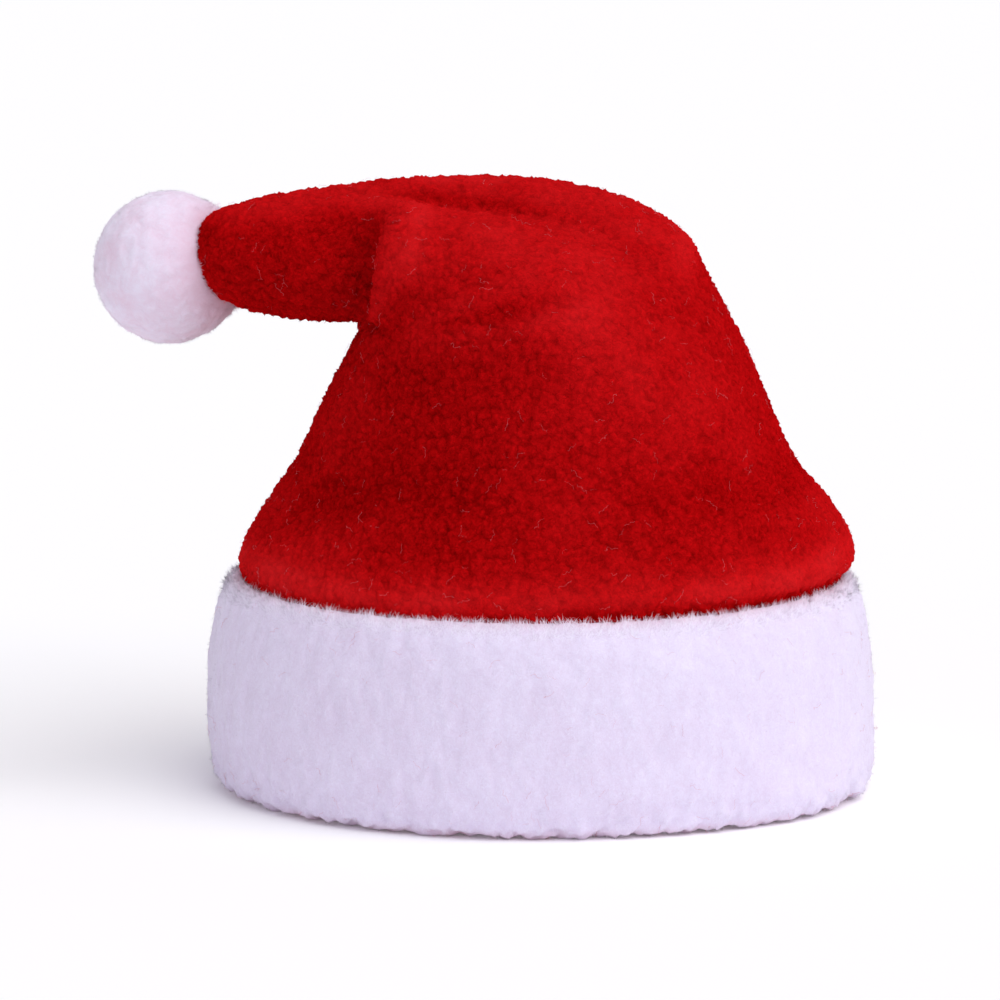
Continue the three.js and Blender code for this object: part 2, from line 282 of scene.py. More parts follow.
# Short-pile polyester plush: a soft cool white that lets light in, its clumps a little taller than wide. Its
# pink third colour is a painted reflection of the red near the fleece and painted shade along the foot.
WHITE_PLUSH = {
    "deep": "#E0D1E9", "light": "#EEE8FF", "painted_light_tint": "#E9B6C6", "stretch": (1, 1, 0.8),
    "patch": 7 * MM, "patch_contrast": 0.6, "grain": 0.4 * MM, "grain_contrast": 1.3, "wisps": 1.5,
    "clump": 1.8 * MM, "nap_contrast": 0.25, "fibre_contrast": 0.6, "painted_shade_and_highlight_contrast": 0.0,
    "bump": 0.25, "bump_depth": 0.25 * MM, "grain_relief": 1.0,
    "roughness": 0.9, "specular": 0.15, "sheen": 0.2, "sheen_roughness": 0.4, "sheen_colour": "#FFFFFF",
    "subsurface": 0.2, "subsurface_depth": 1.2 * MM,
}
# Felted plush of the ball: the same white, packed denser, with painted pinkish shade and reflection of the
# red round the tip.
POMPOM_PLUSH = {
    "deep": "#EACFE2", "light": "#F2EDFF", "painted_light_tint": "#D79FB6", "stretch": EVEN,
    "patch": 5 * MM, "patch_contrast": 1.0, "grain": 0.6 * MM, "grain_contrast": 0.7, "wisps": 1.5,
    "clump": 2.0 * MM, "nap_contrast": 0.25, "fibre_contrast": 0.12, "painted_shade_and_highlight_contrast": 0.0,
    "bump": 0.25, "bump_depth": 0.25 * MM, "grain_relief": 1.0,
    "roughness": 0.9, "specular": 0.15, "sheen": 0.2, "sheen_roughness": 0.4, "sheen_colour": "#FFFFFF",
    "subsurface": 0.2, "subsurface_depth": 1.2 * MM,
}
# The fibres of these cloths: each is too thin to have a relief or a depth of its own.
FIBRE = {"bump": 0.0, "subsurface": 0.0}
FLEECE_FIBRE = RED_FLEECE | FIBRE
POMPOM_FIBRE = POMPOM_PLUSH | FIBRE
# Those of the cuff differ more in tone than its cloth does, so that they show as fine wisps.
PLUSH_FIBRE = WHITE_PLUSH | FIBRE | {"deep": "#D2C4DD", "light": "#F3EEFF"}
# Single polyester fibres of the plush, which look pale pink where they lie on the red.
STRAY_PLUSH = PLUSH_FIBRE | {"deep": "#D04A54", "light": "#EA8890"}
# Single fibres of the fleece, rubbed off on the white.
STRAY_FLEECE = FLEECE_FIBRE | {"deep": "#CC8494", "light": "#E6B0BC"}


# Node trees that make the cloth's surface and what grows on it

def new_tree(name, inputs):
    """An empty tree with a geometry in and out and these named inputs. Returns it and its inputs' sockets."""
    tree = bpy.data.node_groups.new(name, "GeometryNodeTree")
    tree.interface.new_socket("Cloth", in_out="INPUT", socket_type="NodeSocketGeometry")
    for label, kind in inputs.items():
        tree.interface.new_socket(label, in_out="INPUT", socket_type="NodeSocket" + kind)
    tree.interface.new_socket("Made", in_out="OUTPUT", socket_type="NodeSocketGeometry")
    return tree, add(tree, "NodeGroupInput").outputs


def above_floor(tree, geometry):
    """The geometry with everything that would reach below the floor pressed up to it."""
    apart = add(tree, "ShaderNodeSeparateXYZ", {"Vector": add(tree, "GeometryNodeInputPosition")})
    height = add(tree, "ShaderNodeMath", {0: apart.outputs["Z"], 1: 0.0}, operation="MAXIMUM")
    place = add(tree, "ShaderNodeCombineXYZ", {
        "X": apart.outputs["X"], "Y": apart.outputs["Y"], "Z": height})
    return add(tree, "GeometryNodeSetPosition", {"Geometry": geometry, "Position": place})


def soft_surface_tree():
    """A cloth's own surface: soft lumps, and a nap of round clumps with pits between them."""
    tree, given = new_tree("soft_surface", {
        "Lump Size": "Float", "Lump Height": "Float", "Clump Size": "Float",
        "Clump Height": "Float", "Stretch": "Vector", "Finish": "Material",
    })
    place = add(tree, "ShaderNodeVectorMath", {
        0: add(tree, "GeometryNodeInputPosition"), 1: given["Stretch"]}, operation="MULTIPLY")
    lump_scale = add(tree, "ShaderNodeMath", {0: 1.0, 1: given["Lump Size"]}, operation="DIVIDE")
    lump = add(tree, "ShaderNodeTexNoise", {"Vector": place, "Scale": lump_scale, "Detail": LUMPY_NOISE})
    clump_scale = add(tree, "ShaderNodeMath", {0: 1.0, 1: given["Clump Size"]}, operation="DIVIDE")
    nap = clumps(tree, place, clump_scale, given["Clump Size"])

    raised = 0.0
    for value, height in ((lump, given["Lump Height"]), (nap, given["Clump Height"])):
        centred = add(tree, "ShaderNodeMath", {0: value, 1: MIDDLE}, operation="SUBTRACT")
        raised = add(tree, "ShaderNodeMath", {0: centred, 1: height, 2: raised}, operation="MULTIPLY_ADD")
    shown = add(tree, "GeometryNodeInputNamedAttribute", {"Name": PILE}, data_type="FLOAT")
    height = add(tree, "ShaderNodeMath", {0: raised, 1: shown}, operation="MULTIPLY")
    offset = add(tree, "ShaderNodeVectorMath", {
        0: add(tree, "GeometryNodeInputNormal"), "Scale": height}, operation="SCALE")
    cloth = add(tree, "GeometryNodeSetPosition", {"Geometry": given["Cloth"], "Offset": offset})
    smooth = add(tree, "GeometryNodeSetShadeSmooth", {"Geometry": above_floor(tree, cloth)})
    finish = add(tree, "GeometryNodeSetMaterial", {"Geometry": smooth, "Material": given["Finish"]})
    add(tree, "NodeGroupOutput", {0: finish})
    return tree


def blade(tree, curl):
    """One fibre along +Y, a unit long and wide: it tapers to a point and its tip curls down."""
    grid = add(tree, "GeometryNodeMeshGrid", {
        "Size X": 1.0, "Size Y": 1.0, "Vertices X": BLADE_COLUMNS, "Vertices Y": BLADE_ROWS})
    apart = add(tree, "ShaderNodeSeparateXYZ", {"Vector": add(tree, "GeometryNodeInputPosition")})
    along = add(tree, "ShaderNodeMath", {0: apart.outputs["Y"], 1: MIDDLE}, operation="ADD")
    squared = add(tree, "ShaderNodeMath", {0: along, 1: along}, operation="MULTIPLY")
    taper = add(tree, "ShaderNodeMath", {0: 1.0, 1: squared}, operation="SUBTRACT")
    across = add(tree, "ShaderNodeMath", {0: apart.outputs["X"], 1: taper}, operation="MULTIPLY")
    drop = add(tree, "ShaderNodeMath", {0: squared, 1: curl}, operation="MULTIPLY")
    down = add(tree, "ShaderNodeMath", {0: 0.0, 1: drop}, operation="SUBTRACT")
    place = add(tree, "ShaderNodeCombineXYZ", {"X": across, "Y": along, "Z": down})
    shaped = add(tree, "GeometryNodeSetPosition", {"Geometry": grid, "Position": place})
    flat = add(tree, "GeometryNodeStoreNamedAttribute", {
        "Geometry": shaped, "Name": BLADE_PLACE, "Value": add(tree, "GeometryNodeInputPosition")},
        data_type="FLOAT_VECTOR", domain="POINT")
    return add(tree, "GeometryNodeMergeByDistance", {"Geometry": flat, "Distance": TIP_MERGE})


def sown(tree, given, where):
    """Points scattered over the cloth, as dense as its value says, and the cloth's normal at each."""
    shown = add(tree, "GeometryNodeInputNamedAttribute", {"Name": where}, data_type="FLOAT")
    density = add(tree, "ShaderNodeMath", {0: given["Density"], 1: shown}, operation="MULTIPLY")
    scattered = add(tree, "GeometryNodeDistributePointsOnFaces", {
        "Mesh": given["Cloth"], "Density": density, "Seed": given["Seed"]})
    return scattered.outputs["Points"], scattered.outputs["Normal"]


def with_values(tree, points, values):
    """The points with these named values stored on them, each given by its kind and its source."""
    for name, (kind, value) in values.items():
        points = add(tree, "GeometryNodeStoreNamedAttribute", {
            "Geometry": points, "Name": name, "Value": value}, data_type=kind, domain="POINT")
    return points


def finished(tree, geometry, unneeded, finish):
    """Ends a tree: takes off the values that are no longer needed and sets the material."""
    for name in unneeded:
        geometry = add(tree, "GeometryNodeRemoveAttribute", {"Geometry": geometry, "Name": name})
    made = add(tree, "GeometryNodeSetMaterial", {"Geometry": geometry, "Material": finish})
    add(tree, "NodeGroupOutput", {0: made})


def with_cells(tree, geometry, count):
    """Gives each fibre a small square of its own in the texture map, so that no two share a spot there."""
    root = add(tree, "ShaderNodeMath", {0: count, 1: 0.5}, operation="POWER")
    columns = add(tree, "ShaderNodeMath", {0: root}, operation="CEIL")
    cell = add(tree, "GeometryNodeInputNamedAttribute", {"Name": CELL}, data_type="INT")
    column = add(tree, "ShaderNodeMath", {0: cell, 1: columns}, operation="MODULO")
    row = add(tree, "ShaderNodeMath", {0: cell, 1: columns}, operation="DIVIDE")
    row = add(tree, "ShaderNodeMath", {0: row}, operation="FLOOR")
    corner = add(tree, "ShaderNodeCombineXYZ", {"X": column, "Y": row})
    local = add(tree, "GeometryNodeInputNamedAttribute", {"Name": BLADE_PLACE}, data_type="FLOAT_VECTOR")
    room = 1 - 2 * CELL_EDGE
    inset = add(tree, "ShaderNodeVectorMath", {
        0: local, 1: (room, room, 0.0), 2: (MIDDLE, CELL_EDGE, 0.0)}, operation="MULTIPLY_ADD")
    spot = add(tree, "ShaderNodeVectorMath", {0: corner, 1: inset}, operation="ADD")
    shrink = add(tree, "ShaderNodeMath", {0: 1.0, 1: columns}, operation="DIVIDE")
    spot = add(tree, "ShaderNodeVectorMath", {0: spot, "Scale": shrink}, operation="SCALE")
    return add(tree, "GeometryNodeStoreNamedAttribute", {
        "Geometry": geometry, "Name": TEXTURE_MAP, "Value": spot}, data_type="FLOAT2", domain="CORNER")


def pile_tree():
    """A pile on a cloth: bent, tapering fibres that lean the way it is combed, in tufts, with strays."""
    tree, given = new_tree("pile", {
        "Grows On": "String", "Density": "Float", "Length": "Float", "Width": "Float", "Lean": "Float",
        "Curl": "Float", "Tuft Size": "Float", "Tuft Shape": "Vector", "Tuft Spread": "Float",
        "Stray": "Float", "Root Depth": "Float", "Seed": "Int", "Finish": "Material",
    })
    roots, normal = sown(tree, given, given["Grows On"])

    comb = add(tree, "GeometryNodeInputNamedAttribute", {"Name": COMB}, data_type="FLOAT_VECTOR")
    shape = add(tree, "ShaderNodeVectorMath", {
        0: add(tree, "GeometryNodeInputPosition"), 1: given["Tuft Shape"]}, operation="MULTIPLY")
    scale = add(tree, "ShaderNodeMath", {0: 1.0, 1: given["Tuft Size"]}, operation="DIVIDE")
    tuft = add(tree, "ShaderNodeTexNoise", {"Vector": shape, "Scale": scale, "Detail": SMOOTH_NOISE})
    centred = add(tree, "ShaderNodeVectorMath", {0: tuft.outputs["Color"], 1: CENTRE}, operation="SUBTRACT")
    tufted = add(tree, "ShaderNodeVectorMath", {0: centred, "Scale": given["Tuft Spread"]}, operation="SCALE")
    chance = add(tree, "FunctionNodeRandomValue", {
        VECTOR_LOW: (-1, -1, -1), VECTOR_HIGH: (1, 1, 1), "Seed": given["Seed"]}, data_type="FLOAT_VECTOR")
    stray = add(tree, "ShaderNodeVectorMath", {0: chance, "Scale": given["Stray"]}, operation="SCALE")
    side = add(tree, "ShaderNodeVectorMath", {0: comb, 1: tufted}, operation="ADD")
    side = add(tree, "ShaderNodeVectorMath", {0: side, 1: stray}, operation="ADD")
    way = add(tree, "ShaderNodeMix", {"Factor": given["Lean"], VECTOR_A: normal, VECTOR_B: side},
              data_type="VECTOR")
    turn = add(tree, "FunctionNodeAxesToRotation", {
        "Primary Axis": way.outputs[VECTOR_OUT], "Secondary Axis": normal},
        primary_axis="Y", secondary_axis="Z")

    shortest, longest = FIBRE_LENGTHS
    share = add(tree, "FunctionNodeRandomValue", {
        FLOAT_LOW: shortest, FLOAT_HIGH: longest, "Seed": given["Seed"]}, data_type="FLOAT")
    length = add(tree, "ShaderNodeMath", {0: given["Length"], 1: share.outputs[FLOAT_OUT]},
                 operation="MULTIPLY")
    size = add(tree, "ShaderNodeCombineXYZ", {"X": given["Width"], "Y": length, "Z": length})
    sunk = add(tree, "ShaderNodeVectorMath", {0: normal, "Scale": given["Root Depth"]}, operation="SCALE")
    under = add(tree, "ShaderNodeVectorMath", {0: (0, 0, 0), 1: sunk}, operation="SUBTRACT")
    points = add(tree, "GeometryNodeSetPosition", {"Geometry": roots, "Offset": under})

    tone = add(tree, "FunctionNodeRandomValue", {
        FLOAT_LOW: -1.0, FLOAT_HIGH: 1.0, "Seed": given["Seed"]}, data_type="FLOAT")
    points = with_values(tree, points, {
        TONE: ("FLOAT", tone.outputs[FLOAT_OUT]),
        ROOT_NORMAL: ("FLOAT_VECTOR", normal),
        CELL: ("INT", add(tree, "GeometryNodeInputIndex")),
    })
    planted = add(tree, "GeometryNodeInstanceOnPoints", {
        "Points": points, "Instance": blade(tree, given["Curl"]), "Rotation": turn, "Scale": size})
    fibres = above_floor(tree, add(tree, "GeometryNodeRealizeInstances", {"Geometry": planted}))
    fibres = add(tree, "GeometryNodeSetShadeSmooth", {"Geometry": fibres})
    rooted = add(tree, "GeometryNodeInputNamedAttribute", {"Name": ROOT_NORMAL}, data_type="FLOAT_VECTOR")
    fibres = add(tree, "GeometryNodeSetMeshNormal", {"Mesh": fibres, "Custom Normal": rooted},
                 mode="FREE", domain="POINT")
    count = add(tree, "GeometryNodeAttributeDomainSize", {"Geometry": points}, component="POINTCLOUD")
    fibres = with_cells(tree, fibres, count)
    finished(tree, fibres, (ROOT_NORMAL, CELL, BLADE_PLACE), given["Finish"])
    return tree


def lint_tree():
    """Single loose hairs that lie on a cloth, each wavy in its own way."""
    tree, given = new_tree("lint", {
        "Density": "Float", "Length": "Float", "Radius": "Float", "Wave Size": "Float",
        "Wave Height": "Float", "Lift": "Float", "Seed": "Int", "Finish": "Material",
    })
    roots, normal = sown(tree, given, PILE)
    thinnest, thickest = HAIR_WIDTHS
    thickness = add(tree, "FunctionNodeRandomValue", {
        FLOAT_LOW: thinnest, FLOAT_HIGH: thickest, "Seed": given["Seed"]}, data_type="FLOAT")
    radius = add(tree, "ShaderNodeMath", {0: given["Radius"], 1: thickness.outputs[FLOAT_OUT]},
                 operation="MULTIPLY")
    points = with_values(tree, roots, {
        ROOT_NORMAL: ("FLOAT_VECTOR", normal),
        HAIR_RADIUS: ("FLOAT", radius),
    })
    way = add(tree, "FunctionNodeRandomValue", {
        VECTOR_LOW: (-1, -1, -1), VECTOR_HIGH: (1, 1, 1), "Seed": given["Seed"]}, data_type="FLOAT_VECTOR")
    turn = add(tree, "FunctionNodeAxesToRotation", {"Primary Axis": normal, "Secondary Axis": way},
               primary_axis="Z", secondary_axis="Y")
    shortest, longest = HAIR_LENGTHS
    share = add(tree, "FunctionNodeRandomValue", {
        FLOAT_LOW: shortest, FLOAT_HIGH: longest, "Seed": given["Seed"]}, data_type="FLOAT")
    length = add(tree, "ShaderNodeMath", {0: given["Length"], 1: share.outputs[FLOAT_OUT]},
                 operation="MULTIPLY")
    line = add(tree, "GeometryNodeCurvePrimitiveLine", {"Start": (0, -MIDDLE, 0), "End": (0, MIDDLE, 0)})
    hair = add(tree, "GeometryNodeResampleCurve", {"Curve": line, "Count": HAIR_POINTS})
    laid = add(tree, "GeometryNodeInstanceOnPoints", {
        "Points": points, "Instance": hair, "Rotation": turn, "Scale": length})
    laid = add(tree, "GeometryNodeRealizeInstances", {"Geometry": laid})

    wave_scale = add(tree, "ShaderNodeMath", {0: 1.0, 1: given["Wave Size"]}, operation="DIVIDE")
    wave = add(tree, "ShaderNodeTexNoise", {"Scale": wave_scale, "Detail": SMOOTH_NOISE})
    wave = add(tree, "ShaderNodeVectorMath", {0: wave.outputs["Color"], 1: CENTRE}, operation="SUBTRACT")
    bent = add(tree, "ShaderNodeVectorMath", {0: wave, "Scale": given["Wave Height"]}, operation="SCALE")
    rooted = add(tree, "GeometryNodeInputNamedAttribute", {"Name": ROOT_NORMAL}, data_type="FLOAT_VECTOR")
    lift = add(tree, "ShaderNodeVectorMath", {0: rooted, "Scale": given["Lift"]}, operation="SCALE")
    offset = add(tree, "ShaderNodeVectorMath", {0: bent, 1: lift}, operation="ADD")
    laid = add(tree, "GeometryNodeSetPosition", {"Geometry": laid, "Offset": offset})

    section = add(tree, "GeometryNodeCurvePrimitiveCircle", {"Resolution": HAIR_SIDES, "Radius": 1.0})
    thick = add(tree, "GeometryNodeInputNamedAttribute", {"Name": HAIR_RADIUS}, data_type="FLOAT")
    hairs = add(tree, "GeometryNodeCurveToMesh", {
        "Curve": laid, "Profile Curve": section, "Scale": thick, "Fill Caps": True})
    hairs = add(tree, "GeometryNodeSetShadeSmooth", {"Geometry": above_floor(tree, hairs)})
    finished(tree, hairs, (ROOT_NORMAL, HAIR_RADIUS), given["Finish"])
    return tree


def grown(name, cloth, tree, values):
    """A new piece with the mesh that the tree makes from a cloth's mesh, with these named inputs."""
    piece = bpy.data.objects.new(name, cloth.copy())
    bpy.context.scene.collection.objects.link(piece)
    modifier = piece.modifiers.new(tree.name, "NODES")
    modifier.node_group = tree
    for socket in tree.interface.items_tree:
        if socket.in_out == "INPUT" and socket.name in values:
            modifier[socket.identifier] = values[socket.name]
    depsgraph = bpy.context.evaluated_depsgraph_get()
    mesh = bpy.data.meshes.new_from_object(
        piece.evaluated_get(depsgraph), preserve_all_data_layers=True, depsgraph=depsgraph)
    piece.modifiers.remove(modifier)
    piece.data = mesh
    mesh.name = name
    return piece


# Cloth meshes taken from the frame

def merged(node):
    """A copy of a node's mesh with its loose triangles joined, and paired into quads where they lie flat."""
    cloth = bmesh.new()
    cloth.from_mesh(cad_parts[node].data)
    bmesh.ops.remove_doubles(cloth, verts=cloth.verts, dist=MERGE_WITHIN)
    bmesh.ops.join_triangles(cloth, faces=cloth.faces, angle_face_threshold=FLAT_PAIR,
                             angle_shape_threshold=math.pi)
    return cloth


def remade(cloth, name, modifiers):
    """The cloth as these modifiers make it, each given by its kind and its settings."""
    mesh = bpy.data.meshes.new(name)
    cloth.to_mesh(mesh)
    piece = bpy.data.objects.new(name, mesh)
    piece.vertex_groups.new(name=INSIDE_GROUP)
    bpy.context.scene.collection.objects.link(piece)
    for kind, settings in modifiers.items():
        modifier = piece.modifiers.new(kind.lower(), kind)
        for label, value in settings.items():
            setattr(modifier, label, value)
    depsgraph = bpy.context.evaluated_depsgraph_get()
    made = bmesh.new()
    made.from_mesh(piece.evaluated_get(depsgraph).to_mesh())
    made.normal_update()
    bpy.data.objects.remove(piece)
    return made


def ease(cloth, vertices, rounds):
    """Moves these vertices towards the middle of their neighbours, this many times."""
    for _ in range(rounds):
        bmesh.ops.smooth_vert(cloth, verts=vertices, factor=EASING_STEP,
                              use_axis_x=True, use_axis_y=True, use_axis_z=True)
    cloth.normal_update()


def fine(cloth, name):
    """The cloth rounded by subdivision, divided into even, small faces and eased."""
    made = remade(cloth, name, {
        "SUBSURF": {"levels": ROUNDING_LEVEL, "render_levels": ROUNDING_LEVEL},
        "REMESH": {"mode": "VOXEL", "voxel_size": FACE_SIZES[name]},
    })
    ease(made, made.verts, EASING[name])
    return made


def inner_wall(cloth):
    """The numbers of the inner wall's vertices: without the hem's edge, it is the smaller of two skins."""
    hem = min(v.co.z for v in cloth.verts) + HEM_EDGE
    skins = []
    seen = set()
    for start in cloth.faces:
        if start in seen or start.calc_center_median().z < hem:
            continue
        skin = [start]
        seen.add(start)
        for face in skin:
            for near in {f for e in face.edges for f in e.link_faces} - seen:
                if near.calc_center_median().z >= hem:
                    seen.add(near)
                    skin.append(near)
        skins.append(skin)
    skins.sort(key=lambda skin: sum(f.calc_area() for f in skin))
    return {v.index for f in skins[0] for v in f.verts}


def with_larger_faces_inside(cloth, name):
    """The cone with the faces of its inner wall made larger, and the rest as it was."""
    inside = inner_wall(cloth)
    layer = cloth.verts.layers.deform.verify()
    for vertex in cloth.verts:
        if vertex.index in inside:
            vertex[layer][0] = 1.0
    inside_faces = sum(all(v.index in inside for v in f.verts) for f in cloth.faces)
    ratio = 1 - (1 - INSIDE_FACES) * inside_faces / len(cloth.faces)
    return remade(cloth, name, {"DECIMATE": {"ratio": ratio, "vertex_group": INSIDE_GROUP}})


def draw_in(cloth, skin):
    """Draws in each edge that is sewn to a neighbour, until it all but touches it."""
    for vertex in cloth.verts:
        place, _, _, gap = skin.find_nearest(vertex.co, SEAM_REACH)
        if place is not None and gap > SEAM_GAP:
            closeness = 1 - gap / SEAM_REACH
            vertex.co += (place - vertex.co) * (1 - SEAM_GAP / gap) * closeness
    cloth.normal_update()


def close_folds(cloth, inside):
    """Brings the sides of each narrow fold of the outer skin together, so that it is a crease, not a slot."""
    skin = BVHTree.FromBMesh(cloth)
    moves = {}
    for vertex in cloth.verts:
        if vertex.index not in inside:
            start = vertex.co + vertex.normal * SEAM_GAP
            place, _, _, gap = skin.ray_cast(start, vertex.normal, FOLD_REACH)
            if place is not None:
                moves[vertex] = vertex.normal * gap / 2
    for vertex, move in moves.items():
        vertex.co += move
    ease(cloth, list(moves), FOLD_EASING)


def share_of_way(value, start, end):
    """How far a value is on its way from start to end, from 0 to 1."""
    return min(max((value - start) / (end - start), 0.0), 1.0)


def ridges(cloth, name):
    """How far each vertex stands out from a much smoother cloth, from 0 in hollows to 1 on ridges."""
    smoother = remade(cloth, name, {"SMOOTH": {"factor": EASING_STEP, "iterations": RIDGE_SMOOTHING}})
    smoother.verts.ensure_lookup_table()
    out = [(v.co - smoother.verts[v.index].co).dot(v.normal) for v in cloth.verts]
    return [share_of_way(o, HOLLOW, RIDGE) for o in out]


def marked(cloth, name, marks, combed):
    """A mesh of the cloth that carries these values at its vertices, each worked out by a function."""
    for label in marks:
        cloth.verts.layers.float.new(label)
    layers = {label: cloth.verts.layers.float[label] for label in marks}
    comb = cloth.verts.layers.float_vector.new(COMB)
    for vertex in cloth.verts:
        for label, worked_out in marks.items():
            vertex[layers[label]] = worked_out(vertex)
        vertex[comb] = combed(vertex)
    mesh = bpy.data.meshes.new(name)
    cloth.to_mesh(mesh)
    return mesh


def covered(vertex, *neighbours):
    """Whether another piece lies close over this vertex."""
    hits = (skins[name].ray_cast(vertex.co, vertex.normal, HIDDEN_WITHIN) for name in neighbours)
    return any(place is not None for place, _, _, _ in hits)


def near_red(vertex, reach):
    """1 where a vertex touches the fleece, and less further away, down to 0 at this reach."""
    place, _, _, gap = skins["crown"].find_nearest(vertex.co, reach)
    return 0.0 if place is None else (1 - gap / reach) ** 2


def crown_pile_share(vertex):
    """Thinner on the inner wall, and none where the cuff or the ball covers the cone."""
    if covered(vertex, "cuff", "pompom"):
        return 0.0
    return INSIDE_SHARE if vertex.index in crown_inside else 1.0


def crown_painted_shade_and_highlight(vertex):
    """Painted shade and highlight: by the cone's ridges and hollows, an even low tone along the sides of the
    tail, and lighter on what faces up.
    """
    tail = share_of_way(vertex.co.x, TAIL_FROM, TAIL_BY) if vertex.co.z > TAIL_HEIGHT else 0.0
    painted_shade_and_highlight = crown_ridges[vertex.index] * (1 - tail) + TAIL_PAINTED_TONE * tail
    top = share_of_way(vertex.normal.z, TOP_FROM, 1)
    return max(painted_shade_and_highlight, painted_shade_and_highlight * (1 - top) + TOP_PAINTED_HIGHLIGHT * top)


def crown_painted_highlight(vertex):
    """A pale painted highlight, strongest where the painted tone is lightest."""
    return PAINTED_HIGHLIGHT_PALE * crown_painted_shade_and_highlight(vertex) ** 2


def cuff_outwards(vertex):
    """How far the cuff's surface points away from the hat's middle, from -1 to 1."""
    return vertex.normal.xy.dot(vertex.co.xy.normalized())


def cuff_pile_share(vertex):
    """Shaggy along the foot, thinner where the cuff faces the head, and none in its seam."""
    if covered(vertex, "crown"):
        return 0.0
    if cuff_outwards(vertex) < CUFF_INNER:
        return INSIDE_SHARE
    return 1 + FOOT_SHAG * max(0.0, 1 - vertex.co.z / CUFF_FOOT)


def cuff_rim_share(vertex):
    """1 on the outside of the cuff's top edge, and 0 elsewhere."""
    return 1.0 if cuff_outwards(vertex) > CUFF_OUTER and vertex.co.z > CUFF_RIM_FROM else 0.0


def cuff_painted_reflection_and_shade(vertex):
    """Painted pink reflection of the red along the fleece, and painted shade along the foot, where it meets
    the floor.
    """
    foot = max(0.0, 1 - vertex.co.z / FOOT_SHADE_REACH) ** 2
    return max(foot, near_red(vertex, CUFF_REFLECTION_REACH))


def cuff_combed(vertex):
    """Down over most of the cuff, and up and in over the fleece along its top edge."""
    share = share_of_way(vertex.co.z, CUFF_BRUSHED_UP_FROM, CUFF_BRUSHED_UP_BY)
    inwards = -vertex.co.xy.normalized() * CUFF_BRUSHED_IN * share
    return Vector((inwards.x, inwards.y, share - CUFF_BRUSHED_DOWN * (1 - share)))


def pompom_pile_share(vertex):
    """All over the ball, apart from its dimple, where the tip sits."""
    return 0.0 if covered(vertex, "crown") else 1.0


def pompom_rim_share(vertex):
    """1 on the edge of the ball's dimple, and 0 elsewhere."""
    return 1.0 if near_red(vertex, POMPOM_RIM_REACH) > 0 and not covered(vertex, "crown") else 0.0


def pompom_painted_shade_and_reflection(vertex):
    """Painted pinkish shade and reflection of the red round the tip."""
    return near_red(vertex, POMPOM_TIP_REACH)


def pompom_combed(vertex):
    """Towards the tip, the more the nearer it is."""
    return TIP_WAY * near_red(vertex, POMPOM_TIP_REACH)


cloths = {name: fine(merged(name), name) for name in ("crown", "cuff", "pompom")}
cloths["crown"] = with_larger_faces_inside(cloths["crown"], "crown")
crown_inside = inner_wall(cloths["crown"])
close_folds(cloths["crown"], crown_inside)
crown_ridges = ridges(cloths["crown"], "crown")
skins = {name: BVHTree.FromBMesh(cloth) for name, cloth in cloths.items()}
draw_in(cloths["cuff"], skins["crown"])
draw_in(cloths["pompom"], skins["crown"])
# The fleece carries painted shade and highlight, and the plush a painted reflection of the red and painted
# shade along the foot.
crown_mesh = marked(cloths["crown"], "crown", {
    PILE: crown_pile_share, PAINTED_SHADE_AND_HIGHLIGHT: crown_painted_shade_and_highlight, PAINTED_LIGHT_TINT: crown_painted_highlight}, lambda vertex: CROWN_COMB)
cuff_mesh = marked(cloths["cuff"], "cuff", {
    PILE: cuff_pile_share, RIM: cuff_rim_share, PAINTED_LIGHT_TINT: cuff_painted_reflection_and_shade}, cuff_combed)
pompom_mesh = marked(cloths["pompom"], "pompom", {
    PILE: pompom_pile_share, RIM: pompom_rim_share, PAINTED_LIGHT_TINT: pompom_painted_shade_and_reflection}, pompom_combed)

surface = soft_surface_tree()
pile = pile_tree()
lint = lint_tree()
red_fleece = pile_cloth("brushed_fleece", RED_FLEECE)
white_plush = pile_cloth("short_plush", WHITE_PLUSH)
pompom_plush = pile_cloth("felted_plush", POMPOM_PLUSH)
fleece_fibre = pile_cloth("fleece_fibre", FLEECE_FIBRE)
plush_fibre = pile_cloth("plush_fibre", PLUSH_FIBRE)
pompom_fibre = pile_cloth("felted_plush_fibre", POMPOM_FIBRE)
stray_plush = pile_cloth("stray_plush_fibre", STRAY_PLUSH)
stray_fleece = pile_cloth("stray_fleece_fibre", STRAY_FLEECE)

crown_cloth = grown("crown_cloth", crown_mesh, surface, {
    "Lump Size": 9 * MM, "Lump Height": 0.5 * MM, "Clump Size": 1.2 * MM, "Clump Height": 0.9 * MM,
    "Stretch": EVEN, "Finish": red_fleece})
crown_nap = grown("crown_nap", crown_cloth.data, pile, {
    "Grows On": PILE, "Density": 2.4 * PER_MM2, "Length": 0.6 * MM, "Width": 0.1 * MM,
    "Lean": 0.85, "Curl": 0.3, "Stray": 0.5, "Root Depth": 0.1 * MM,
    "Tuft Size": 1.0 * MM, "Tuft Shape": EVEN, "Tuft Spread": 3.0,
    "Seed": 3, "Finish": fleece_fibre})
crown_lint = grown("crown_lint", crown_cloth.data, lint, {
    "Density": 0.03 * PER_MM2, "Length": 1.8 * MM, "Radius": 0.015 * MM, "Wave Size": 0.5 * MM,
    "Wave Height": 1.4 * MM, "Lift": 0.3 * MM, "Seed": 11, "Finish": stray_plush})
cuff_body = grown("cuff_body", cuff_mesh, surface, {
    "Lump Size": 4 * MM, "Lump Height": 0.9 * MM, "Clump Size": 1.8 * MM, "Clump Height": 0.35 * MM,
    "Stretch": (1, 1, 0.75), "Finish": white_plush})
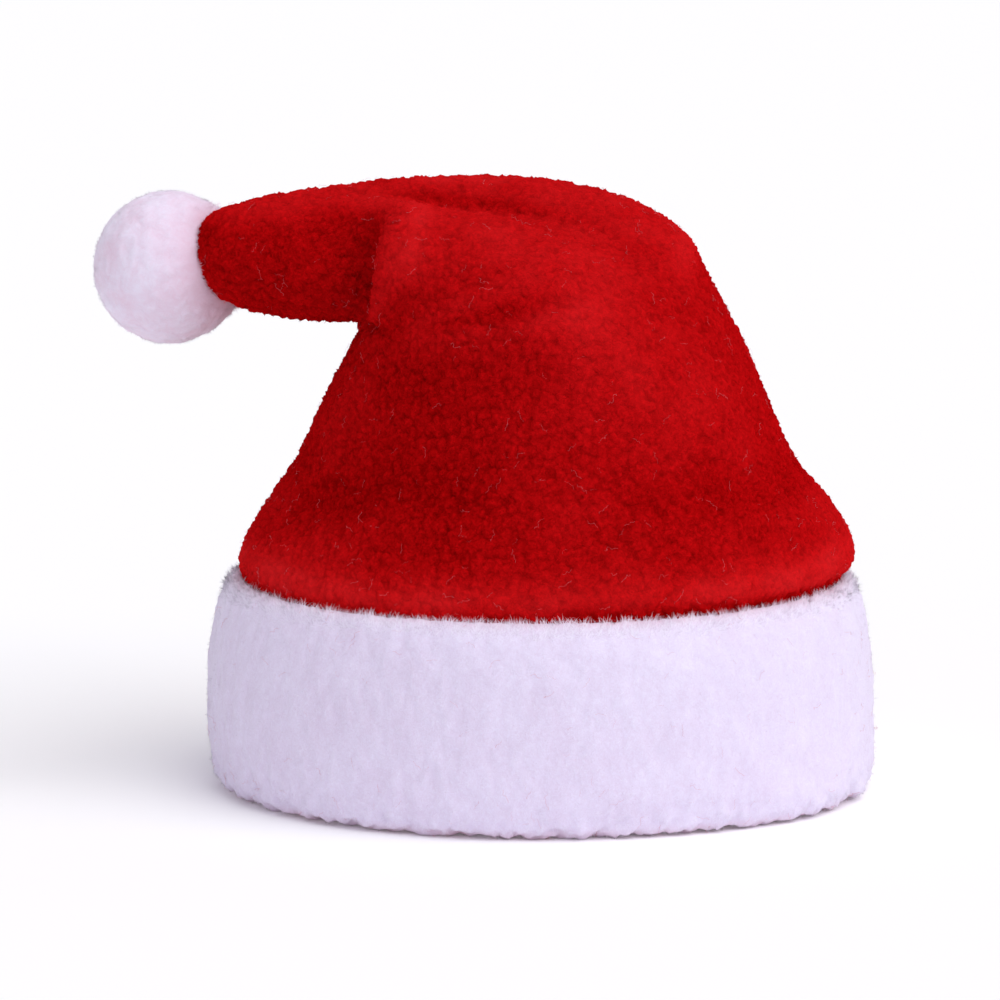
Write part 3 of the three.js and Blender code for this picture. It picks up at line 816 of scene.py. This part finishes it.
cuff_pile = grown("cuff_pile", cuff_body.data, pile, {
    "Grows On": PILE, "Density": 2.8 * PER_MM2, "Length": 1.0 * MM, "Width": 0.08 * MM,
    "Lean": 0.9, "Curl": 0.3, "Stray": 1.2, "Root Depth": 0.2 * MM,
    "Tuft Size": 1.4 * MM, "Tuft Shape": (1, 1, 0.8), "Tuft Spread": 3.5,
    "Seed": 5, "Finish": plush_fibre})
cuff_rim = grown("cuff_rim", cuff_body.data, pile, {
    "Grows On": RIM, "Density": 26 * PER_MM2, "Length": 1.4 * MM, "Width": 0.08 * MM,
    "Lean": 0.8, "Curl": 0.3, "Stray": 1.1, "Root Depth": 0.1 * MM,
    "Tuft Size": 1.4 * MM, "Tuft Shape": EVEN, "Tuft Spread": 4.5,
    "Seed": 6, "Finish": plush_fibre})
cuff_lint = grown("cuff_lint", cuff_body.data, lint, {
    "Density": 0.025 * PER_MM2, "Length": 1.8 * MM, "Radius": 0.018 * MM, "Wave Size": 0.9 * MM,
    "Wave Height": 1.6 * MM, "Lift": 0.25 * MM, "Seed": 12, "Finish": stray_fleece})
pompom_body = grown("pompom_body", pompom_mesh, surface, {
    "Lump Size": 6 * MM, "Lump Height": 0.5 * MM, "Clump Size": 2.0 * MM, "Clump Height": 0.3 * MM,
    "Stretch": EVEN, "Finish": pompom_plush})
pompom_pile = grown("pompom_pile", pompom_body.data, pile, {
    "Grows On": PILE, "Density": 9 * PER_MM2, "Length": 0.6 * MM, "Width": 0.07 * MM,
    "Lean": 0.9, "Curl": 0.2, "Stray": 0.3, "Root Depth": 0.1 * MM,
    "Tuft Size": 1.6 * MM, "Tuft Shape": EVEN, "Tuft Spread": 3.0,
    "Seed": 7, "Finish": pompom_fibre})
pompom_rim = grown("pompom_rim", pompom_body.data, pile, {
    "Grows On": RIM, "Density": 40 * PER_MM2, "Length": 1.6 * MM, "Width": 0.07 * MM,
    "Lean": 0.75, "Curl": 0.4, "Stray": 1.0, "Root Depth": 0.1 * MM,
    "Tuft Size": 1.3 * MM, "Tuft Shape": EVEN, "Tuft Spread": 3.0,
    "Seed": 8, "Finish": pompom_fibre})
# The blades are thicker than real fibres, so they would shade the cloth too much: they cast no shadow on it.
for fuzz in (crown_nap, cuff_pile, cuff_rim, pompom_pile, pompom_rim):
    fuzz.visible_shadow = False
    fuzz.visible_diffuse = False

# What each piece stands for, and how soft it is
PIECES = [
    (crown_cloth, "crown", "red_fleece"),
    (crown_nap, None, "red_fleece"),
    (crown_lint, None, "white_plush"),
    (cuff_body, "cuff", "white_plush"),
    (cuff_pile, None, "white_plush"),
    (cuff_rim, None, "white_plush"),
    (cuff_lint, None, "red_fleece"),
    (pompom_body, "pompom", "pompom_plush"),
    (pompom_pile, None, "pompom_plush"),
    (pompom_rim, None, "pompom_plush"),
]
for piece, node, slot in PIECES:
    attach(piece, "root")
    if node:
        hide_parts(node)


# Stage

def towards(azimuth, elevation):
    """The direction from the hat to a camera or lamp: azimuth 0 is in front, 90 degrees on the right."""
    level = math.cos(elevation)
    return Vector((math.sin(azimuth) * level, -math.cos(azimuth) * level, math.sin(elevation)))


def pale_floor():
    """A plain pale floor of matt paper under the hat."""
    mesh = bpy.data.meshes.new("floor")
    reach = FLOOR_HALF_WIDTH
    mesh.from_pydata([(-reach, -reach, 0), (reach, -reach, 0), (reach, reach, 0), (-reach, reach, 0)], [],
                     [(0, 1, 2, 3)])
    material = bpy.data.materials.new("matt_paper")
    material.use_nodes = True
    shader = material.node_tree.nodes["Principled BSDF"]
    shader.inputs["Base Color"].default_value = linear(FLOOR_COLOUR)
    shader.inputs["Roughness"].default_value = FLOOR_ROUGHNESS
    shader.inputs["Specular IOR Level"].default_value = FLOOR_SPECULAR
    shader.inputs["Emission Color"].default_value = linear(FLOOR_COLOUR)
    shader.inputs["Emission Strength"].default_value = FLOOR_GLOW
    mesh.materials.append(material)
    floor = bpy.data.objects.new("floor", mesh)
    bpy.context.scene.collection.objects.link(floor)


def key_light():
    """A wide, far lamp, so that the floor is lit evenly and shadows are soft."""
    lamp = bpy.data.lights.new("key", "SUN")
    lamp.angle = KEY_WIDTH
    lamp.energy = KEY_STRENGTH
    light = bpy.data.objects.new("key", lamp)
    light.rotation_euler = towards(KEY_AZIMUTH, KEY_ELEVATION).to_track_quat("Z", "Y").to_euler()
    bpy.context.scene.collection.objects.link(light)


def sky():
    """An even pale light from all round."""
    world = bpy.data.worlds.new("studio")
    world.use_nodes = True
    background = world.node_tree.nodes["Background"]
    background.inputs["Color"].default_value = linear(SKY_COLOUR)
    background.inputs["Strength"].default_value = SKY_STRENGTH
    bpy.context.scene.world = world


def camera():
    """A long lens at the photo's angle, with the hat where the photo has it."""
    lens = bpy.data.cameras.new("camera")
    lens.sensor_width = SENSOR_WIDTH
    lens.lens = SENSOR_WIDTH * CAMERA_DISTANCE / VIEW_WIDTH
    view = bpy.data.objects.new("camera", lens)
    back = towards(CAMERA_AZIMUTH, CAMERA_ELEVATION)
    view.location = CAMERA_TARGET + back * CAMERA_DISTANCE
    view.rotation_euler = (-back).to_track_quat("-Z", "Y").to_euler()
    bpy.context.scene.collection.objects.link(view)
    bpy.context.scene.camera = view


pale_floor()
key_light()
sky()
camera()
bpy.context.scene.view_settings.view_transform = "Standard"
